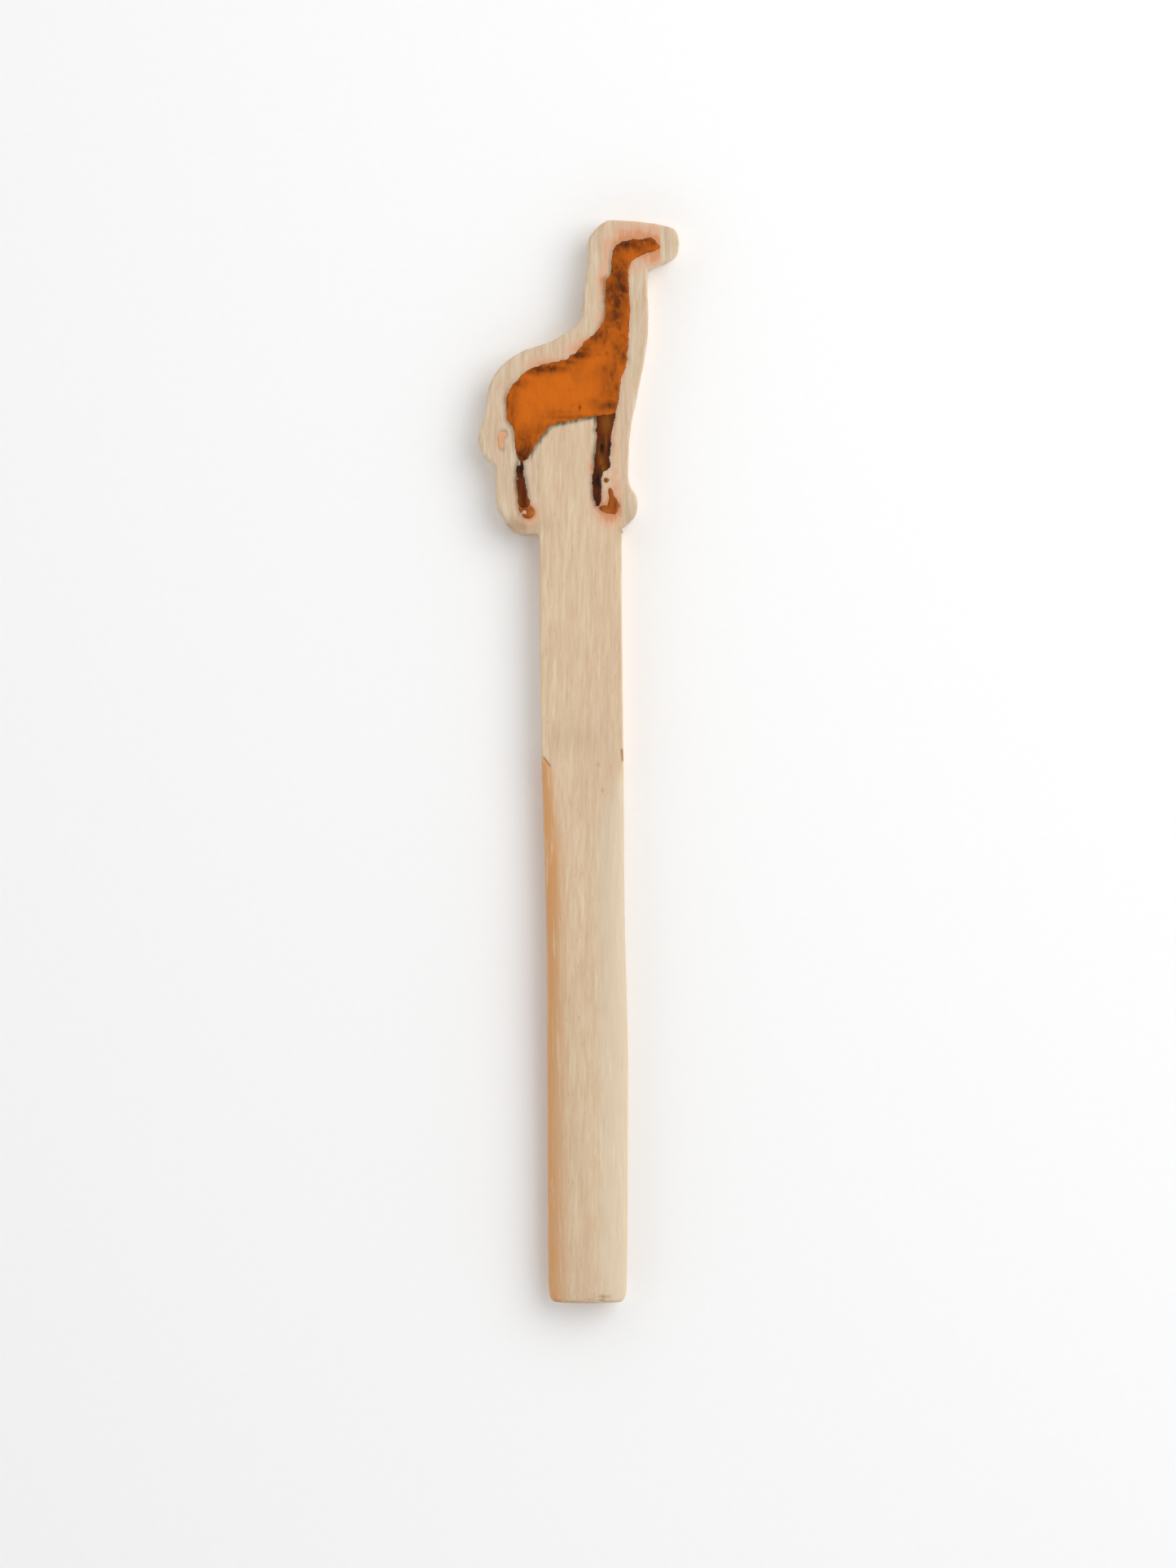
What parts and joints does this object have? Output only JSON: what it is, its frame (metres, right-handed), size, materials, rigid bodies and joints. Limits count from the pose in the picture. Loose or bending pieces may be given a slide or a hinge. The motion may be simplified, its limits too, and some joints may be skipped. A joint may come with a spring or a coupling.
{
  "type": "craft stick puppet",
  "caption": "Flat wooden giraffe figure, painted on its front, let onto the flat end of a hand-shaped stick that swells to a rounded grip.",
  "frame": {"origin": "middle of the outline, on the plane of the back that the puppet lies on", "axes": "+Y from the grip to the head, +Z out of the painted front, +X to the right of the front, where the giraffe looks"},
  "size_m": [0.0247, 0.1332, 0.0052],
  "materials": {
    "stick_wood": "sanded bare basswood, rubbed smooth on the grip",
    "plate_wood": "sanded bare basswood, stained by the paint's thinner around the figure",
    "glue": "dried wood glue",
    "body_paint": "hand-brushed satin paint, mottled orange and brown",
    "leg_paint": "hand-brushed satin paint, dark brown",
    "hoof_paint": "hand-brushed satin paint, red brown",
    "tail_paint": "thin wash of pale orange paint"
  },
  "bodies": {
    "root": {"handle_stick": "stick_wood", "giraffe_plate": "plate_wood", "lap_glue": "glue", "body_paint": "body_paint", "fore_leg_paint": "leg_paint", "fore_hoof_paint": "hoof_paint", "hind_leg_paint": "leg_paint", "hind_hoof_paint": "hoof_paint", "tail_paint": "tail_paint"}
  },
  "joints": []
}
